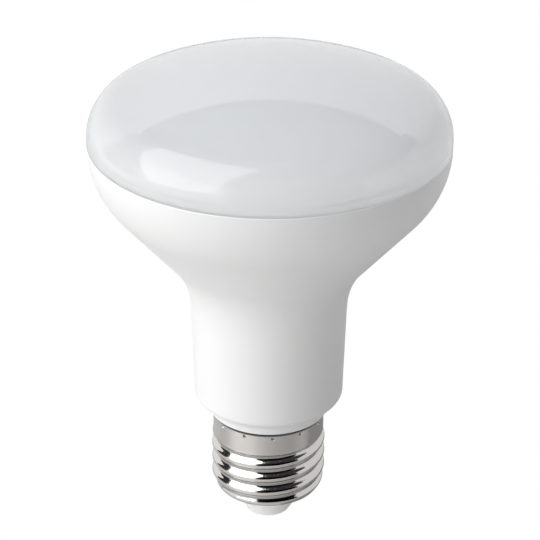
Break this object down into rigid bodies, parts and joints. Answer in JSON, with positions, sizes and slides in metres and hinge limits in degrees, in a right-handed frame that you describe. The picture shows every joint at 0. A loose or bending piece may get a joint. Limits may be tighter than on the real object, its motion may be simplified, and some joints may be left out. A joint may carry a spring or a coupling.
{
  "type": "reflector bulb",
  "caption": "Sealed reflector lamp: shallow opal cover on a flared white housing with a slim neck, over a right-hand screw cap.",
  "frame": {"origin": "middle of the centre contact's flat face, at the foot of the cap", "axes": "+Z along the lamp's axis from the contact to the front cover; the dents and the thread's start fix the turn about it"},
  "size_m": [0.08, 0.08, 0.1135],
  "materials": {
    "opal_cover": "glossy translucent opal plastic",
    "white_body": "satin white moulded plastic",
    "nickel_plate": "nickel-plated rolled sheet",
    "pale_insulator": "pale moulded insulator",
    "contact_metal": "plated contact"
  },
  "bodies": {
    "root": {"front_cover": "opal_cover", "housing": "white_body", "screw_shell": "nickel_plate", "insulator": "pale_insulator", "centre_contact": "contact_metal"}
  },
  "joints": []
}
